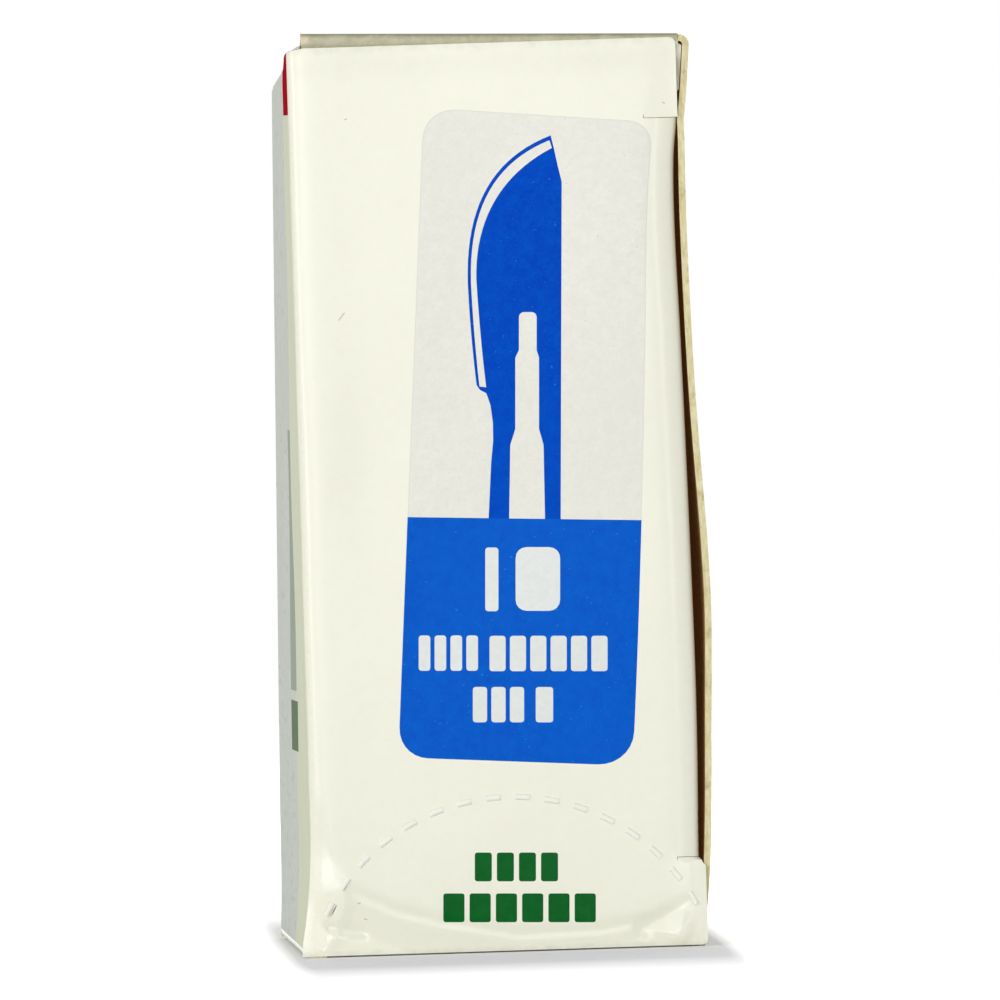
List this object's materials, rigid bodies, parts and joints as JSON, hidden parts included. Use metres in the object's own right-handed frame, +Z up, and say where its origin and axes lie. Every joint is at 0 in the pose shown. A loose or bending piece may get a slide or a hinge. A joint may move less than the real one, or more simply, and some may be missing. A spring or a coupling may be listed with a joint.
{
  "type": "surgical blade carton",
  "caption": "Narrow folding carton for surgical blades, with a slit-locked tuck closure hinged on each left fold and a perforated thumb tab.",
  "frame": {"origin": "under the middle of the carton, on the surface it stands on", "axes": "+X to the right across the front closure, +Y from the front closure into the carton, +Z up"},
  "size_m": [0.0418, 0.11, 0.0914],
  "materials": {
    "cream_board": "varnished white-lined board, cream",
    "printed_board": "varnished white-lined board, cream, with a grey and blue label printed on it"
  },
  "bodies": {
    "carton": {"carton_body": "cream_board"},
    "front_closure": {"front_flap": "printed_board"},
    "back_closure": {"back_flap": "cream_board"}
  },
  "joints": [
    {"name": "front_closure_fold", "type": "hinge", "parent": "carton", "child": "front_closure", "pos_m": [-0.01897, -0.05468, 0], "axis": [0, 0, -1], "range_deg": [0, 140]},
    {"name": "back_closure_fold", "type": "hinge", "parent": "carton", "child": "back_closure", "pos_m": [-0.02048, 0.05468, 0], "axis": [0.02, 0, 0.9998], "range_deg": [0, 140]}
  ]
}
